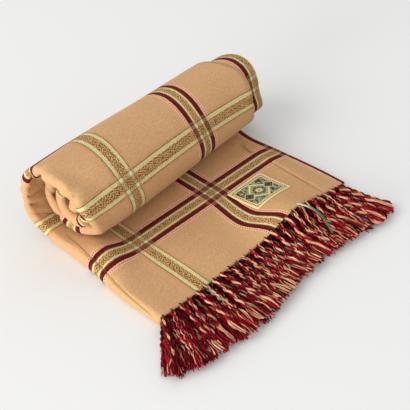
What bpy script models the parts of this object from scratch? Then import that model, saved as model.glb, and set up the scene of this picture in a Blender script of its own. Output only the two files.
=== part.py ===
"""A fringed wool travel rug, folded into a long stack of plies and rolled up, with its fringed tail laid out.

The rug is folded end to end, so that both fringed ends meet, and then twice across its width. Each of the
four plies of the stack is therefore the cloth taken double, and is built here as one sheet of that thickness.
The stack runs from the fringe, along the floor, under the roll, up its back, over its top and on inwards.

Three coordinates describe a point of the stack before it is rolled: across, from the left fold to the right
one, along, from the fringe inwards, and height, above the floor. World X runs along the roll, the fringe
points to -Y and Z is up. Metres throughout.
"""

import math

import bmesh
import bpy
import numpy as np
from mathutils import Vector

# The folded stack
CLOTH = 0.0030  # thickness of one ply, which is the cloth taken double
PLY_PITCH = 0.0040  # from the middle of one ply to the middle of the next
STACK_WIDTH = 0.3750  # from the left fold to the right one
SELVEDGE = 0.3350  # where the two under plies stop, short of the right fold
STACK_LENGTH = 1.0000  # half the rug's length, as it is folded end to end
INNER_FOLD_SETBACK = 0.0070  # of the inner left fold from the outer one

UNDER = CLOTH / 2  # heights of the four plies' middles, from the floor up
THIRD = UNDER + PLY_PITCH
SECOND = UNDER + 2 * PLY_PITCH
TOP = UNDER + 3 * PLY_PITCH

# The roll
TAIL = 0.1910  # laid flat, from the fringe to where the roll begins
ROLL_RADIUS = 0.0762  # outside, where the stack leaves the floor, at the left end
ROLL_TAPER = 0.0133  # radius lost for each metre along the roll
ROLL_YAW = 0.0865  # how far the roll's axis turns away from X, as a slope
ROLL_LEAN = 0.030  # how far the roll leans towards the fringe, as a share of the height
TURN_GAP = 0.0014  # between one turn and the next
TURN_PITCH = TOP + CLOTH / 2 + TURN_GAP

# The left folds are plump: the stack opens out there by this share, over this distance
PUFF = 0.26
PUFF_REACH = 0.035

# How the stack wanders sideways as it winds in. Arc is the distance past the place where the roll begins.
DRIFT = {
    "arc": (-0.20, 0.00, 0.11, 0.17, 0.25, 0.28, 0.30, 0.32, 0.38, 0.54, 0.81),
    "shift": (0.000, 0.000, 0.005, 0.011, 0.012, 0.021, 0.027, 0.030, 0.031, 0.026, 0.020),
}
LEFT_FOLD = {
    "arc": (-0.19, -0.11, -0.05, 0.00, 0.03, 0.06, 0.11, 0.17, 0.19,
            0.22, 0.27, 0.30, 0.33, 0.38, 0.46, 0.54, 0.81),
    "shift": (-0.002, -0.003, 0.002, 0.002, -0.002, -0.010, -0.015, -0.018, -0.020,
              -0.014, -0.013, -0.008, 0.000, -0.009, -0.014, -0.010, 0.000),
}
RIGHT_FOLD = {
    "arc": (-0.26, -0.18, -0.11, -0.04, 0.00, 0.15, 0.19, 0.21,
            0.23, 0.25, 0.27, 0.29, 0.316, 0.34, 0.38, 0.54, 0.81),
    "shift": (0.000, 0.000, -0.004, -0.009, -0.006, 0.000, 0.006, 0.006,
              0.001, -0.0055, -0.004, 0.000, 0.000, 0.002, -0.005, -0.010, -0.010),
}
SELVEDGES = {
    "arc": (-0.20, 0.00, 0.10, 0.17, 0.19, 0.21, 0.225, 0.245, 0.265, 0.29, 0.31, 0.38, 0.81),
    "shift": (0.000, 0.000, -0.005, -0.0075, -0.001, 0.0105, 0.0115, 0.0075,
              0.0005, 0.004, 0.001, -0.003, -0.003),
}
EDGE_REACH = 0.05  # how far in from an edge its own shift is felt

# Soft forms of the tail: each lifts the upper plies off the lower ones
LIFTS = (
    {"across": 0.260, "along": 0.000, "wide": 0.050, "deep": 0.055, "rise": 0.0190},
    {"across": 0.027, "along": 0.133, "wide": 0.024, "deep": 0.042, "rise": 0.0110},
    {"across": 0.110, "along": 0.045, "wide": 0.060, "deep": 0.050, "rise": 0.0022},
)
OVERHANG_DROP = 0.0050  # how far the two upper plies sink past the selvedges of the lower ones
OVERHANG_FADE = 0.060  # the sinking ends this far before the roll

# Where the sheet's mesh has its rows and columns
UNDER_COLUMNS = (0.335, 0.240, 0.140, 0.050)
TOP_COLUMNS = (0.032, 0.075, 0.135, 0.190, 0.232, 0.2665, 0.301, 0.338)
SECOND_COLUMNS = (0.338, 0.270, 0.180, 0.090, 0.040)
THIRD_COLUMNS = (0.055, 0.145, 0.240, 0.335)
TAIL_ROWS = (0.0, 0.015, 0.029, 0.0430, 0.0705, 0.0985, 0.135, 0.170)
STEPS_PER_TURN = 20
OUTER_FOLD_STEPS = 6
TIGHT_FOLD_STEPS = 4

# The sewn label, which covers whole cells of the top ply
LABEL_COLUMNS = (0.232, 0.2665, 0.301)
LABEL_ROWS = (0.0430, 0.0705, 0.0985)
LABEL_THICKNESS = 0.0008
SEAT = 0.0003  # between pieces that touch

# The fringe: a row of tassels for each ply, in a narrow strip along its end
TASSEL_PITCH = 0.0145
TASSEL_WIDTH = 0.0066
TASSEL_HEIGHT = 0.0064
TASSEL_ROW_RISE = 0.0037  # between the middles of one row and the next, where they lie
STRIP_DEPTH = 0.0050
FRINGE_ROWS = (
    {"name": "fringe_under", "ply": UNDER, "start": 0.0125, "count": 22, "length": 0.088},
    {"name": "fringe_third", "ply": THIRD, "start": 0.01975, "count": 21, "length": 0.092},
    {"name": "fringe_second", "ply": SECOND, "start": 0.0125, "count": 24, "length": 0.095},
    {"name": "fringe_top", "ply": TOP, "start": 0.00525, "count": 25, "length": 0.097},
)
# Stations along a tassel: share of its length, and its size as a share of the full section
TASSEL_STATIONS = (
    {"reach": 0.16, "width": 1.00, "height": 1.00, "fall": 0.45},
    {"reach": 0.45, "width": 1.00, "height": 1.00, "fall": 1.00},
    {"reach": 1.00, "width": 0.72, "height": 0.80, "fall": 1.00},
)
SPLAY = {
    "across": (0.000, 0.030, 0.070, 0.105, 0.140, 0.210, 0.260, 0.310, 0.345, 0.375),
    "lean": (-0.68, -0.34, -0.09, -0.01, 0.00, 0.00, -0.05, -0.02, 0.05, 0.16),
    "share": (0.93, 0.98, 1.00, 1.00, 0.92, 0.84, 0.86, 0.94, 0.98, 0.95),
}

# The part's origin, under the middle of its box
ORIGIN_X = 0.1790
ORIGIN_Y = -0.0998


def through(table, key, value, x):
    """A smooth curve through the table's points, read at x."""
    knots = np.asarray(table[key], float)
    heights = np.asarray(table[value], float)
    slopes = np.gradient(heights, knots)
    x = np.asarray(x, float)
    i = np.clip(np.searchsorted(knots, x) - 1, 0, len(knots) - 2)
    step = knots[i + 1] - knots[i]
    t = np.clip((x - knots[i]) / step, 0.0, 1.0)
    start = (1 + 2 * t) * (1 - t) ** 2 * heights[i] + t * (1 - t) ** 2 * step * slopes[i]
    end = t * t * (3 - 2 * t) * heights[i + 1] - t * t * (1 - t) * step * slopes[i + 1]
    return start + end


def near(distance, reach):
    """1 at an edge or a centre, falling softly to 0."""
    return np.exp(-((distance / reach) ** 2))


def eased(t):
    """From 0 to 1 without a corner at either end."""
    t = np.clip(t, 0.0, 1.0)
    return t * t * (3 - 2 * t)


def turn_angle(arc, radius, pitch):
    """The angle wound after an arc's length, on a spiral whose radius falls by one pitch each turn."""
    arc = np.maximum(arc, 0.0)
    return (radius - np.sqrt(np.maximum(radius**2 - arc * pitch / math.pi, 0.0))) * 2 * math.pi / pitch


def place(across, along, height):
    """Where a point of the stack lies once the stack is rolled, as an array of world points."""
    across, along, height = np.broadcast_arrays(*(np.asarray(v, float) for v in (across, along, height)))
    arc = along - TAIL - ROLL_YAW * across
    upper = np.clip((height - UNDER) / (TOP - UNDER), 0.0, 1.0)
    right = np.where(
        height > (SECOND + THIRD) / 2,
        through(RIGHT_FOLD, "arc", "shift", arc) * near(STACK_WIDTH - across, EDGE_REACH),
        through(SELVEDGES, "arc", "shift", arc) * near(SELVEDGE - across, EDGE_REACH),
    )
    sideways = across + through(LEFT_FOLD, "arc", "shift", arc) * near(across, EDGE_REACH) + right
    arc = along - TAIL - ROLL_YAW * sideways
    x = sideways + through(DRIFT, "arc", "shift", arc)

    lift = sum(
        f["rise"] * near(across - f["across"], f["wide"]) * near(along - f["along"], f["deep"]) for f in LIFTS
    )
    drop = OVERHANG_DROP * eased((across - SELVEDGE) / (STACK_WIDTH - SELVEDGE)) * eased(-arc / OVERHANG_FADE)
    plump = 1 + PUFF * near(across, PUFF_REACH)
    raised = UNDER + (height - UNDER) * plump + upper * (lift - drop)

    radius = ROLL_RADIUS - ROLL_TAPER * x
    pitch = TURN_PITCH * plump
    angle = turn_angle(arc, radius - TURN_PITCH / 2, TURN_PITCH)
    spoke = radius - pitch * angle / (2 * math.pi) - raised
    flat = arc < 0
    z = np.where(flat, raised, radius - spoke * np.cos(angle))
    y = np.where(flat, along - TAIL, ROLL_YAW * x + spoke * np.sin(angle) - ROLL_LEAN * (z - raised))
    return np.stack([x - ORIGIN_X, y - ORIGIN_Y, z], axis=-1)


def half_circle(centre, low, high, side, steps):
    """Points of a fold from height low to height high, bulging to one side: -1 for left, 1 for right."""
    radius = abs(high - low) / 2
    middle = (low + high) / 2
    turns = np.linspace(0, math.pi, steps + 1)
    return [(centre + side * radius * math.sin(t), middle + (low - high) / 2 * math.cos(t)) for t in turns]


def section():
    """Across and height of each column of the sheet, from the under ply's selvedge to the third ply's."""
    outer = half_circle((TOP - UNDER) / 2, UNDER, TOP, -1, OUTER_FOLD_STEPS)
    right = half_circle(STACK_WIDTH - PLY_PITCH / 2, TOP, SECOND, 1, TIGHT_FOLD_STEPS)
    inner = half_circle(INNER_FOLD_SETBACK + PLY_PITCH / 2, SECOND, THIRD, -1, TIGHT_FOLD_STEPS)
    columns = [(across, UNDER) for across in UNDER_COLUMNS] + outer
    columns += [(across, TOP) for across in TOP_COLUMNS] + right
    columns += [(across, SECOND) for across in SECOND_COLUMNS] + inner
    columns += [(across, THIRD) for across in THIRD_COLUMNS]
    return columns


def rows():
    """Distances along the stack of the sheet's rows: few on the tail, and even steps round the roll."""
    radius = ROLL_RADIUS - ROLL_TAPER * STACK_WIDTH / 2 - TURN_PITCH / 2
    start = TAIL + ROLL_YAW * STACK_WIDTH / 2
    wound = float(turn_angle(STACK_LENGTH - start, radius, TURN_PITCH))
    steps = round(wound / (2 * math.pi) * STEPS_PER_TURN)
    angles = np.linspace(0, wound, steps + 1)
    arcs = radius * angles - TURN_PITCH * angles**2 / (4 * math.pi)
    return list(TAIL_ROWS) + [start + arc for arc in arcs]


def finish(obj, name, collection, colour, roughness):
    """Names an object, gives it its own material and keeps it in the rug's collection."""
    obj.name = name
    obj.data.name = name
    for other in list(obj.users_collection):
        other.objects.unlink(obj)
    collection.objects.link(obj)
    material = bpy.data.materials.new(name)
    material.use_nodes = True
    shader = material.node_tree.nodes["Principled BSDF"]
    shader.inputs["Base Color"].default_value = (*colour, 1.0)
    shader.inputs["Roughness"].default_value = roughness
    shader.inputs["Metallic"].default_value = 0.0
    obj.data.materials.clear()
    obj.data.materials.append(material)
    return obj


def thicken(obj, thickness):
    """Gives an open sheet its thickness, half to each side."""
    shell = obj.modifiers.new("thickness", "SOLIDIFY")
    shell.thickness = thickness
    shell.offset = 0.0


def grid_sheet(points):
    """A grid whose vertices are moved to the given rows of points, as an object."""
    count_v, count_u = points.shape[:2]
    bpy.ops.mesh.primitive_grid_add(x_subdivisions=count_u - 1, y_subdivisions=count_v - 1, size=1.0)
    obj = bpy.context.active_object
    obj.data.vertices.foreach_set("co", points.reshape(-1).astype(np.float32))
    obj.data.update()
    obj.data.shade_smooth()
    return obj


def build_cloth(collection):
    """The whole rug as one sheet: four plies joined at their folds, along the tail and round the roll."""
    columns = np.array(section())
    along = np.array(rows())
    points = place(columns[None, :, 0], along[:, None], columns[None, :, 1])
    cloth = grid_sheet(points)
    thicken(cloth, CLOTH)
    return finish(cloth, "rug_cloth", collection, (0.62, 0.42, 0.24), 0.95)


def build_label(collection, cloth):
    """A woven label laid on the top ply, parallel to the cloth under it."""
    columns = section()
    along = rows()
    picked_u = [columns.index((across, TOP)) for across in LABEL_COLUMNS]
    picked_v = [along.index(distance) for distance in LABEL_ROWS]
    rise = CLOTH / 2 + SEAT + LABEL_THICKNESS / 2
    vertices = cloth.data.vertices
    points = np.empty((len(picked_v), len(picked_u), 3))
    for j, v in enumerate(picked_v):
        for i, u in enumerate(picked_u):
            vertex = vertices[v * len(columns) + u]
            upward = vertex.normal if vertex.normal.z > 0 else -vertex.normal
            points[j, i] = vertex.co + upward * rise
    label = grid_sheet(points)
    thicken(label, LABEL_THICKNESS)
    return finish(label, "label", collection, (0.80, 0.72, 0.50), 0.85)


def strip_cells(row):
    """Across positions of the strip's cell edges. Every second cell holds a tassel's root."""
    edges = [row["start"] - TASSEL_WIDTH / 2 - 0.002]
    for k in range(row["count"]):
        middle = row["start"] + k * TASSEL_PITCH
        edges += [middle - TASSEL_WIDTH / 2, middle + TASSEL_WIDTH / 2]
    edges.append(edges[-1] + 0.002)
    return edges


def draw_tassel(bm, face, across, length, rest):
    """Extrudes one face of a strip into a four-sided tassel that comes down to its resting height."""
    lean = float(through(SPLAY, "across", "lean", across))
    length *= float(through(SPLAY, "across", "share", across))
    heading = Vector((math.sin(lean), -math.cos(lean), 0.0))
    root = face.calc_center_median()
    for station in TASSEL_STATIONS:
        face = bmesh.ops.extrude_discrete_faces(bm, faces=[face])["faces"][0]
        centre = face.calc_center_median()
        half_width = TASSEL_WIDTH * station["width"] / 2
        half_height = TASSEL_HEIGHT * station["height"] / 2
        middle = root + heading * length * station["reach"]
        middle.z = root.z + (rest - TASSEL_HEIGHT / 2 + half_height - root.z) * station["fall"]
        middle.z = max(middle.z, half_height)
        for vert in face.verts:
            right = math.copysign(half_width, vert.co.x - centre.x)
            above = math.copysign(half_height, vert.co.z - centre.z)
            vert.co = middle + Vector((right, 0.0, above))


def build_fringe(collection, row, level):
    """One row of tassels, drawn out of a narrow strip that lies along the end of its ply."""
    edges = strip_cells(row)
    thin = CLOTH / 2
    bm = bmesh.new()
    corners = []
    for across in edges:
        back = [place(across, 0.0, row["ply"]) + np.array([0, -SEAT, dz]) for dz in (-thin, thin)]
        front = [point + np.array([0, -STRIP_DEPTH, 0]) for point in back]
        corners.append([bm.verts.new(p) for p in (back[0], back[1], front[1], front[0])])
    fronts = []
    for left, right in zip(corners, corners[1:]):
        for i in range(4):
            j = (i + 1) % 4
            face = bm.faces.new((left[i], left[j], right[j], right[i]))
            if i == 2:
                fronts.append(face)
    bm.faces.new(corners[0][::-1])
    bm.faces.new(corners[-1])
    rest = TASSEL_HEIGHT / 2 + level * TASSEL_ROW_RISE
    for k, face in enumerate(fronts[1::2]):
        draw_tassel(bm, face, row["start"] + k * TASSEL_PITCH, row["length"], rest)
    bmesh.ops.recalc_face_normals(bm, faces=bm.faces)
    mesh = bpy.data.meshes.new(row["name"])
    bm.to_mesh(mesh)
    bm.free()
    obj = bpy.data.objects.new(row["name"], mesh)
    bpy.context.scene.collection.objects.link(obj)
    return finish(obj, row["name"], collection, (0.38, 0.05, 0.06), 0.9)


def main():
    for obj in list(bpy.data.objects):
        bpy.data.objects.remove(obj)
    collection = bpy.data.collections.new("travel_rug")
    bpy.context.scene.collection.children.link(collection)
    cloth = build_cloth(collection)
    build_label(collection, cloth)
    for level, row in enumerate(FRINGE_ROWS):
        build_fringe(collection, row, level)


main()
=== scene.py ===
"""A fringed wool travel rug, folded and rolled up with its tail laid out: cloth, sewn label and fringe.

The rug is folded end to end and then twice across, which gives a stack of four plies, each of them the cloth
taken double. The stack runs from the fringe along the floor, under the roll and round on inwards. Across is
measured from its left fold to its right one, along from the fringe inwards, and height above the floor.
"""

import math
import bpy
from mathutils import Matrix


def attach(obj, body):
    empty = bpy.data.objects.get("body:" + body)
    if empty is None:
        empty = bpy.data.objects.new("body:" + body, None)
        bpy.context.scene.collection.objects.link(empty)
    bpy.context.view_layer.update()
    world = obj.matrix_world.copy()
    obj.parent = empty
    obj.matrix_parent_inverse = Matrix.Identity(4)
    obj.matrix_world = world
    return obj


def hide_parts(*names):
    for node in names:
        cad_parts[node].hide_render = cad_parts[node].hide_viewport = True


bl_info = {
    "name": "Folded travel rug",
    "version": (1, 0, 0),
    "blender": (4, 5, 0),
    "location": "View3D > Sidebar > Travel rug",
    "description": "Builds the cloth, sewn label and fringe of a rolled travel rug over its packed frame",
    "category": "Object",
}

from collections import namedtuple

import bpy
import numpy as np
from bpy.props import FloatProperty, FloatVectorProperty, IntProperty, PointerProperty
from mathutils import Vector

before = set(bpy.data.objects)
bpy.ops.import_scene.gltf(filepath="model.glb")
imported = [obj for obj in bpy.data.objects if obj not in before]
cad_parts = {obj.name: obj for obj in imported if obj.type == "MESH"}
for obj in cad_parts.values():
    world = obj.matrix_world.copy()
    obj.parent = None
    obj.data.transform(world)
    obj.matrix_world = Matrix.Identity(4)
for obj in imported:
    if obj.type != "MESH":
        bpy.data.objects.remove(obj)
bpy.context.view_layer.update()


def shade(*display):
    """A colour given in display values from 0 to 255, as the linear colour that a shader takes."""
    return tuple(((c / 255 + 0.055) / 1.055) ** 2.4 if c > 10 else c / 255 / 12.92 for c in display)


def hue(name, description, *display):
    """A colour among the settings, in display values."""
    return FloatVectorProperty(
        name=name, description=description, default=shade(*display), subtype="COLOR", min=0, max=1
    )


def length_property(name, description, default, low):
    """A length among the settings, in metres."""
    return FloatProperty(
        name=name, description=description, default=default, min=low, subtype="DISTANCE", unit="LENGTH"
    )


# The folded stack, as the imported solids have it
CLOTH = 0.003  # thickness of one ply, which is the cloth taken double
PLY_PITCH = 0.004
STACK_WIDTH = 0.375
SELVEDGE = 0.335
STACK_LENGTH = 1.0
INNER_FOLD_SETBACK = 0.007
UNDER = CLOTH / 2
THIRD = UNDER + PLY_PITCH
SECOND = UNDER + 2 * PLY_PITCH
TOP = UNDER + 3 * PLY_PITCH

# The roll
TAIL = 0.191
ROLL_RADIUS = 0.0762
ROLL_TAPER = 0.0133
ROLL_YAW = 0.0865
ROLL_LEAN = 0.03
TURN_GAP = 0.0014
TURN_PITCH = TOP + CLOTH / 2 + TURN_GAP
PUFF = 0.26
PUFF_REACH = 0.035
# How far the stack is shifted to the right, as arcs and the shifts there: first all of it, then each edge
DRIFT = (
    (-0.2, 0.0, 0.11, 0.17, 0.25, 0.28, 0.3, 0.32, 0.38, 0.54, 0.81),
    (0.0, 0.0, 0.005, 0.011, 0.012, 0.021, 0.027, 0.03, 0.031, 0.026, 0.02),
)
LEFT_FOLD = (
    (-0.19, -0.11, -0.05, 0.0, 0.03, 0.06, 0.11, 0.17, 0.19, 0.22, 0.27, 0.3, 0.33, 0.38, 0.46, 0.54, 0.81),
    (-0.002, -0.003, 0.002, 0.002, -0.002, -0.01, -0.015, -0.018, -0.02,
     -0.014, -0.013, -0.008, 0.0, -0.009, -0.014, -0.01, 0.0),
)
RIGHT_FOLD = (
    (-0.26, -0.18, -0.11, -0.04, 0.0, 0.15, 0.19, 0.21,
     0.23, 0.25, 0.27, 0.29, 0.316, 0.34, 0.38, 0.54, 0.81),
    (0.0, 0.0, -0.004, -0.009, -0.006, 0.0, 0.006, 0.006,
     0.001, -0.0055, -0.004, 0.0, 0.0, 0.002, -0.005, -0.01, -0.01),
)
SELVEDGES = (
    (-0.2, 0.0, 0.1, 0.17, 0.19, 0.21, 0.225, 0.245, 0.265, 0.29, 0.31, 0.38, 0.81),
    (0.0, 0.0, -0.005, -0.0075, -0.001, 0.0105, 0.0115, 0.0075, 0.0005, 0.004, 0.001, -0.003, -0.003),
)
EDGE_REACH = 0.05
# Where the tail rises: its top's place across and along, its reach both ways and its height
LIFTS = (
    (0.26, 0.0, 0.05, 0.055, 0.019),
    (0.027, 0.133, 0.024, 0.042, 0.011),
    (0.11, 0.045, 0.06, 0.05, 0.0022),
)
OVERHANG_DROP = 0.005
OVERHANG_FADE = 0.06
ORIGIN_X = 0.179
ORIGIN_Y = -0.0998

# The visible cloth: two layers in each ply, on a finer grid
LAYER_OFFSET = 0.00075  # of each layer's middle from its ply's middle
RUG_WIDTH = 1.4167  # selvedge to selvedge, over the folds
RUG_LENGTH = 2 * STACK_LENGTH

# The fringe, one row of tassels for each ply
TASSEL_PITCH = 0.0145
TASSEL_HEIGHT = 0.0064
TASSEL_ROW_RISE = 0.0037
FRINGE_ROWS = (
    {"name": "fringe_under", "ply": UNDER, "start": 0.0125, "count": 22, "length": 0.088},
    {"name": "fringe_third", "ply": THIRD, "start": 0.01975, "count": 21, "length": 0.092},
    {"name": "fringe_second", "ply": SECOND, "start": 0.0125, "count": 24, "length": 0.095},
    {"name": "fringe_top", "ply": TOP, "start": 0.00525, "count": 25, "length": 0.097},
)
# Lean of the tassels and share of their full length, at places across the stack
SPLAY_ACROSS = (0.0, 0.03, 0.07, 0.105, 0.14, 0.21, 0.26, 0.31, 0.345, 0.375)
SPLAY_LEAN = (-0.68, -0.34, -0.09, -0.01, 0.0, 0.0, -0.05, -0.02, 0.05, 0.16)
SPLAY_SHARE = (0.93, 0.98, 1.0, 1.0, 0.92, 0.84, 0.86, 0.94, 0.98, 0.95)

# One tassel. Places along it are shares of its length, from its root
TASSEL_ROOT = 0.0022  # where the tassels leave the cloth, measured inwards from its end
TASSEL_ROOT_RISE = 0.0004
TASSEL_LEAN = 0.07
TASSEL_BEND = 0.0024
TASSEL_STRAY = 0.0008
TASSEL_LENGTHS = (0.93, 1.03)
TASSEL_FLATNESS = 0.85
LOOSE_FLATNESS = 0.35  # how much flatter its loose end is
TASSEL_RINGS = 30
SETTLED_AT = 0.45  # where it has come down to what it lies on
LOOSE_FROM = (0.4, 0.62)
LOOSE_OVER = 0.5
LOST_TWIST = 0.85
HEAD_WIDTH = 0.75
HEAD_LENGTH = 0.05
YARNS_IN_STRAND = 5
YARN_CUTS = (-0.06, 0.02)
YARN_WIDTHS = (0.85, 1.15)
YARN_TONES = (0.7, 1.2)
YARN_ON_FLOOR = 0.55  # lowest height of a yarn's middle, in yarns
STRAND_TWIST = 0.9  # of the yarns in a strand, against the strands' own
STRAND_SPREAD = 0.0016
YARN_SPREAD = 0.0011
STRAND_DYES = ((0.6, 0.28, 0.08, 0.04), (0.3, 0.1, 0.55, 0.05))  # odds of crimson, maroon, tan and rust
# The lower layer's odds lean to the dark dyes: painted shade in the gaps between the ropes above
LOWER_DYES = ((0.5, 0.44, 0.02, 0.04), (0.44, 0.36, 0.12, 0.08))
# Painted shade on tassels that lie below others, darker towards the root: its reach along them, and its
# strength on the lower layer and on the rows below the top
SHADED_LENGTH = 0.42  # where those below others are darker
LOWER_SHADE = 0.76
ROW_SHADE = 0.48
LOWER_LAYER_DROP = 0.005
LOWER_LENGTH = 0.96
EDGE_TASSEL = 0.003
SPLAYED_STEP = 0.0011
SPLAYED_TASSELS = (0.005, 0.0088, 0.0162, 0.0235, 0.0308, 0.038, 0.342, 0.35, 0.357, 0.3635)

# The part of the top row that has pale green yarns, and the loose roving that lies over that row
MINT_AT = 0.105
MINT_REACH = 0.035
MINT_SPECKLES = 6.0
MINT_LENGTH = (0.26, 0.16)  # middle and reach of the pale green along a tassel
ROVING_ACROSS = 0.262
ROVING_LENGTH = 0.066
ROVING_ROOT = (0.0, 0.002, 0.0048)  # from the end of the top ply
ROVING_SWAY = (0.006, -0.004)  # of its middle and its tip
ROVING_RISE = (0.0045, -0.01)
ROVING_HALF = 0.0009  # half the distance between its two halves

# The label, on the top ply, and the pattern on it in shares of its width
LABEL_ACROSS = (0.2295, 0.3015)
LABEL_ALONG = (0.0415, 0.1)
LABEL_THICKNESS = 0.0008
LABEL_COLUMNS = 30
LABEL_ROWS = 24
SEAT = 0.0003  # between the cloth and the label
LABEL_HEIGHT = 0.79  # of its pattern
LABEL_FRAME = (0.05, 0.084)
LABEL_DASHES = 130.0
LABEL_PANEL = 0.105
LABEL_CELL = 0.03
LABEL_STEP = 0.018
LABEL_WEFTS = 90
LOZENGE_PARTS = ((-1.0, 1.0, "ground"), (-1.0, 0.86, None), (0.42, 0.6, "slate"))  # None: its own filling
STITCH_INSET = 0.0012
STITCH_PITCH = 0.003
STITCH_COVER = (0.12, 0.88)
STITCH_ARCH = (-0.0003, 0.0002, 0.0002, -0.0003)
STITCH_THREAD = 0.0006
NORMAL_STEP = 0.0005  # to the points beside one that give a surface's normal there

# The woven check, on the rug's flat shape: warp stripes by their distance from the middle one, weft stripes
# by their distance from either end
CENTRE_STRIPE = 0.731
MIDDLE_DRIFT = ((-0.02, 0.0, -0.003), (0.08, 0.17, -0.004), (0.21, 0.27, 0.0024))  # (from, to, shift)
BENT_WARP = 0.56
BENT_REACH = 0.055
BENT_DRIFT = ((-0.02, 0.0, 0.006), (0.0, 0.048, -0.015), (0.048, 0.12, 0.009))
WIDE_WARPS = (0.171, 0.617)
NARROW_WARPS = (0.315, 0.465)
FIRST_WIDE_WEFT = 0.121
FIRST_NARROW_WEFT = 0.233
WEFT_STEP = 0.112
WEFT_SKEW = 0.014
WEFT_SKEW_REACH = 0.32
BACK_WEFT = {"across": (-1.0, 0.42), "along": (0.3, 0.42), "soft": 0.02, "shift": -0.006}
WEAVE_BLUR = 0.00035
WEAVE_WAVER = 0.0016
DASH_PERIOD = 0.0032
ZIGZAG_TOOTH = 0.004
ZIGZAG_PERIOD = 0.0034
ZIGZAG_LINE = (0.14, 0.62, 0.12)  # from, to and softness, in periods
TWILL_PERIOD = 0.0019
WOOL_SHINE = 0.06
SHEEN_ROUGHNESS = 0.55
CROSSING_DARK = 0.45
CROSSING_MINT = 0.75
# Bands of each stripe, by the distance from its middle, in the order in which they are laid over one another
WIDE_STRIPE = (
    (0.005, 0.0082, "cream"),
    (0.0082, 0.0094, "moss"),
    (0.0094, 0.0166, "burgundy"),
    (0.0167, 0.0181, "pink"),
    (0.0206, 0.0219, "pink"),
    (0.0186, 0.0201, "dashes"),
    (-1.0, 0.005, "gold"),
)
NARROW_STRIPE = (
    (0.0062, 0.011, "cream"),
    (0.011, 0.0126, "green"),
    (0.0132, 0.0152, "coral"),
    (-1.0, 0.0062, "gold"),
)

# Creases of the cloth, each a soft trough between two points of it (across the rug, from the fringe). A
# painted shade line along its bottom has a reach of CREASE_LINE times dark
Crease = namedtuple("Crease", "start end wide deep dark", defaults=(1.0,))
CREASES = (
    # Beside the label, towards the fringe
    Crease((0.678, 0.104), (0.675, 0.066), 0.0018, 0.0022),
    Crease((0.6752, 0.072), (0.67, 0.019), 0.0022, 0.0034, 1.5),
    Crease((0.6705, 0.022), (0.667, -0.01), 0.002, 0.0024, 1.2),
    # By the roll
    Crease((0.689, 0.171), (0.6815, 0.16), 0.003, 0.004, 3.2),
    Crease((0.6815, 0.162), (0.679, 0.143), 0.005, 0.0042, 3.2),
    # The roll's left end, first the outer ply's fold and then the next turn's
    Crease((0.335, 0.289), (0.37, 0.287), 0.0046, 0.0066, 2.4),
    Crease((0.335, 0.278), (0.364, 0.266), 0.0042, 0.0056, 1.8),
    Crease((0.334, 0.306), (0.364, 0.302), 0.0046, 0.005, 1.5),
    Crease((0.338, 0.344), (0.36, 0.31), 0.005, 0.0064, 2.2),
    Crease((0.333, 0.374), (0.356, 0.35), 0.005, 0.0056, 1.8),
    Crease((0.346, 0.258), (0.372, 0.24), 0.0036, 0.0026),
    Crease((0.33, 0.427), (0.346, 0.44), 0.006, 0.0056, 2.2),
    Crease((0.336, 0.649), (0.36, 0.618), 0.005, 0.005, 2.4),
    Crease((0.32, 0.6), (0.356, 0.59), 0.004, 0.003),
    Crease((0.326, 0.468), (0.3, 0.492), 0.007, 0.0024, 0.0),
    Crease((0.318, 0.402), (0.298, 0.446), 0.012, 0.0026, 0.0),
    # The line between the two layers along the tail's left fold
    Crease((0.356, 0.205), (0.3478, 0.14), 0.0016, 0.0016, 1.2),
    Crease((0.348, 0.15), (0.3465, 0.08), 0.0016, 0.002, 1.3),
    Crease((0.3466, 0.09), (0.34, 0.012), 0.0016, 0.0018, 1.3),
    # Soft hollows
    Crease((0.07, 0.3), (0.15, 0.33), 0.03, 0.0016, 0.0),
    Crease((0.41, 0.15), (0.48, 0.172), 0.014, 0.0012, 0.0),
    Crease((0.5, 0.02), (0.53, 0.08), 0.022, 0.001, 0.0),
)
CREASE_LINE = 0.0016
SPECK_ACROSS = 0.234  # a small dark burr in the outer ply
SPECK_ALONG = 0.47
SPECK_SIZE = 0.0009
SPECK_BLUR = 0.0004

# The stage: each light's name, place, diameter and share of the key light's power, and the camera
LIGHTS = (
    ("key_light", (-5.2, 1.6, 3.95), 4.4, 1.0),
    ("left_light", (-6.9, -1.2, 0.62), 3.4, 2.2),
)
FLOOR_SIZE = 12.0
CAMERA_PLACE = (-0.45332 - ORIGIN_X, -0.6925 - ORIGIN_Y, 0.77854)
CAMERA_TILT = 49.311
CAMERA_TURN = -46.582


def through(knots, heights, x):
    """A smooth curve through the given heights at the knots, read at x."""
    knots, heights = np.asarray(knots, float), np.asarray(heights, float)
    slopes = np.gradient(heights, knots)
    x = np.asarray(x, float)
    i = np.clip(np.searchsorted(knots, x) - 1, 0, len(knots) - 2)
    step = knots[i + 1] - knots[i]
    t = np.clip((x - knots[i]) / step, 0.0, 1.0)
    start = (1 + 2 * t) * (1 - t) ** 2 * heights[i] + t * (1 - t) ** 2 * step * slopes[i]
    end = t * t * (3 - 2 * t) * heights[i + 1] - t * t * (1 - t) * step * slopes[i + 1]
    return start + end


def near(distance, reach):
    """1 at an edge or a centre, falling softly to 0."""
    return np.exp(-((distance / reach) ** 2))


def eased(t):
    """From 0 to 1 without a corner at either end."""
    t = np.clip(t, 0.0, 1.0)
    return t * t * (3 - 2 * t)


def turn_angle(arc, radius, pitch):
    """The angle wound after an arc's length, on a spiral whose radius falls by one pitch each turn."""
    arc = np.maximum(arc, 0.0)
    return (radius - np.sqrt(np.maximum(radius**2 - arc * pitch / math.pi, 0.0))) * math.tau / pitch


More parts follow.
